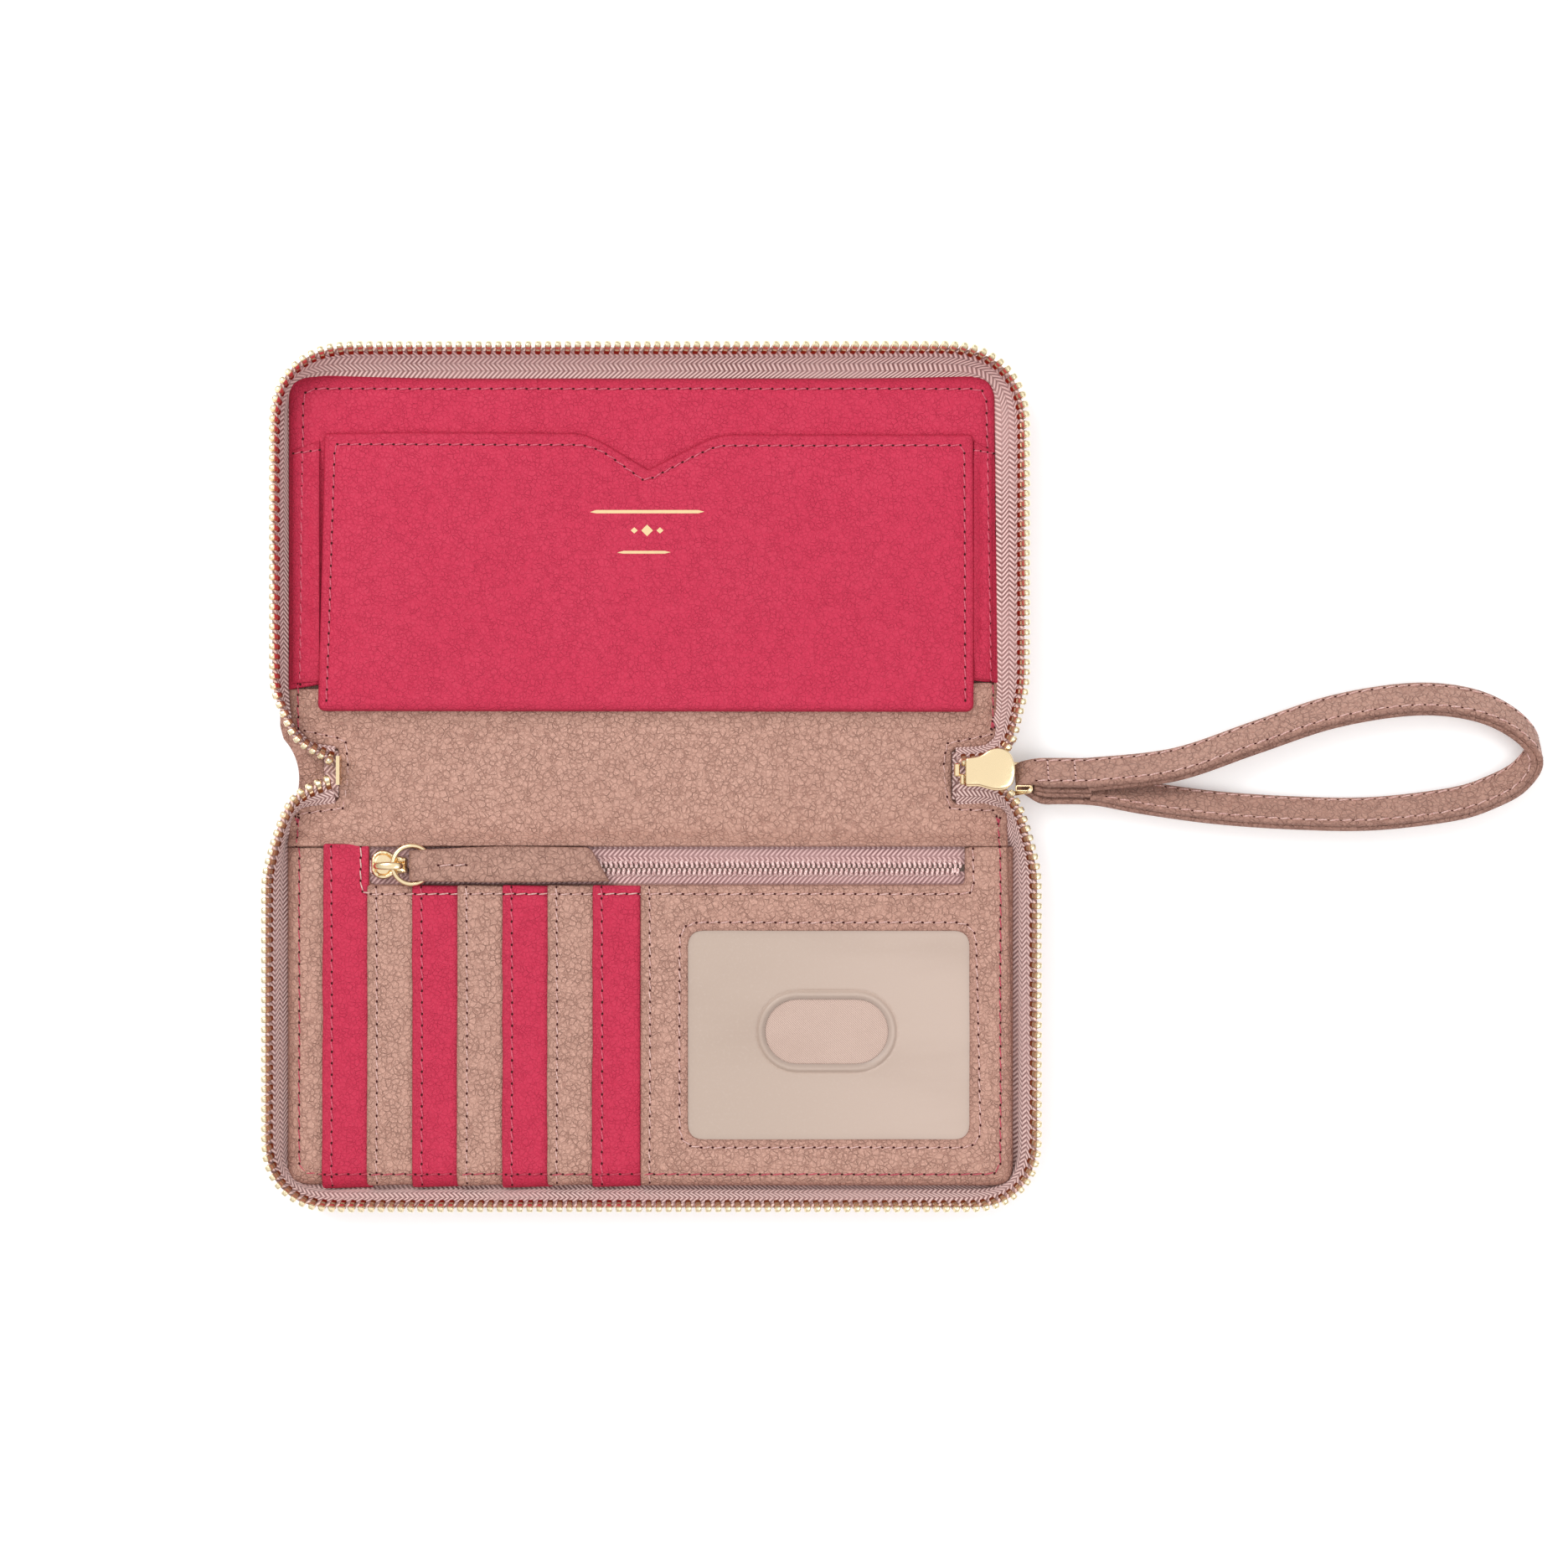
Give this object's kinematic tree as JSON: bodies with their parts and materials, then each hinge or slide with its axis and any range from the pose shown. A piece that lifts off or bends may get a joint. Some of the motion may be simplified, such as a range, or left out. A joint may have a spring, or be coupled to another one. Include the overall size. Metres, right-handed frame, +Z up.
{
  "type": "wristlet wallet",
  "caption": "Zip-around wristlet wallet lying open: padded phone pocket, card strips, ID window, zipped coin pocket, metal-toothed edge zip and leather wrist strap.",
  "frame": {"origin": "centre of the spine's underside, on the surface the open wallet lies on", "axes": "+X along the spine, towards the wrist strap; +Y from the back cover towards the front cover; +Z up out of the open interior"},
  "size_m": [0.329, 0.2229, 0.0124],
  "materials": {
    "taupe_leather": "pebbled",
    "pink_leather": "pebbled",
    "board": "bonded leather board",
    "twill": "fine twill",
    "zip_tape": "herringbone tape",
    "zip_coil": "moulded coil",
    "film": "frosted film",
    "gold_metal": "pale gold plate"
  },
  "bodies": {
    "back_cover": {"outer_cover_back": "taupe_leather", "back_board": "board", "coin_pocket_lining": "twill", "back_lining": "taupe_leather", "spine_lining_back_flap": "taupe_leather", "card_slot_1": "pink_leather", "card_slot_2": "taupe_leather", "card_slot_3": "pink_leather", "card_slot_4": "taupe_leather", "card_slot_5": "pink_leather", "card_slot_6": "taupe_leather", "card_slot_7": "pink_leather", "id_panel": "taupe_leather", "id_film": "film", "id_backing": "twill", "coin_zip_tapes": "zip_tape", "coin_zip_coil": "zip_coil", "coin_zip_stops": "gold_metal", "back_zip_tape": "zip_tape", "back_zip_teeth": "gold_metal"},
    "spine": {"outer_spine": "taupe_leather", "spine_lining": "taupe_leather", "zip_end_tape_left": "zip_tape", "zip_end_teeth_left": "gold_metal", "zip_end_tape_right": "zip_tape", "zip_end_teeth_right": "gold_metal", "zip_stop_left": "gold_metal", "zip_stop_right": "gold_metal"},
    "front_cover": {"outer_cover_front": "taupe_leather", "front_board": "board", "front_lining": "pink_leather", "spine_lining_front_flap": "taupe_leather", "phone_pocket_panel": "pink_leather", "pocket_gusset_left": "pink_leather", "pocket_gusset_right": "pink_leather", "front_zip_tape": "zip_tape", "front_zip_teeth": "gold_metal"},
    "main_slider": {"slider_body": "gold_metal", "slider_bridge": "gold_metal"},
    "main_puller": {"puller_loop": "gold_metal"},
    "wrist_strap": {"strap_band": "taupe_leather", "strap_lining": "taupe_leather", "strap_tail": "taupe_leather"},
    "coin_slider": {"coin_slider_body": "gold_metal"},
    "coin_pull": {"coin_pull_ring": "gold_metal", "coin_pull_tab": "taupe_leather"}
  },
  "joints": [
    {"name": "spine_fold", "type": "hinge", "parent": "back_cover", "child": "spine", "pos_m": [0, -0.0115, 0], "axis": [1, 0, 0], "range_deg": [0, 90], "deforming": ["zip_end_tape_left", "zip_end_teeth_left", "zip_end_tape_right", "zip_end_teeth_right"]},
    {"name": "front_fold", "type": "hinge", "parent": "spine", "child": "front_cover", "pos_m": [0, 0.0115, 0], "axis": [1, 0, 0], "range_deg": [0, 90]},
    {"name": "slider_run", "type": "slide", "parent": "spine", "child": "main_slider", "axis": [1, 0, 0], "range_m": [0, 0.008]},
    {"name": "puller_swing", "type": "hinge", "parent": "main_slider", "child": "main_puller", "pos_m": [0.0876, 0.0025, 0.0049], "axis": [0, 1, 0], "range_deg": [-12, 0]},
    {"name": "strap_swing", "type": "hinge", "parent": "main_puller", "child": "wrist_strap", "pos_m": [0.097, -0.0003, 0.0065], "axis": [0, -0.7071, 0.7071], "range_deg": [0, 35]},
    {"name": "coin_slider_run", "type": "slide", "parent": "back_cover", "child": "coin_slider", "axis": [1, 0, 0], "range_m": [0, 0.098], "deforming": ["coin_zip_coil"]},
    {"name": "coin_pull_swing", "type": "hinge", "parent": "coin_slider", "child": "coin_pull", "pos_m": [-0.0659, -0.0221, 0.0072], "axis": [0, 1, 0], "range_deg": [-150, 0]}
  ]
}
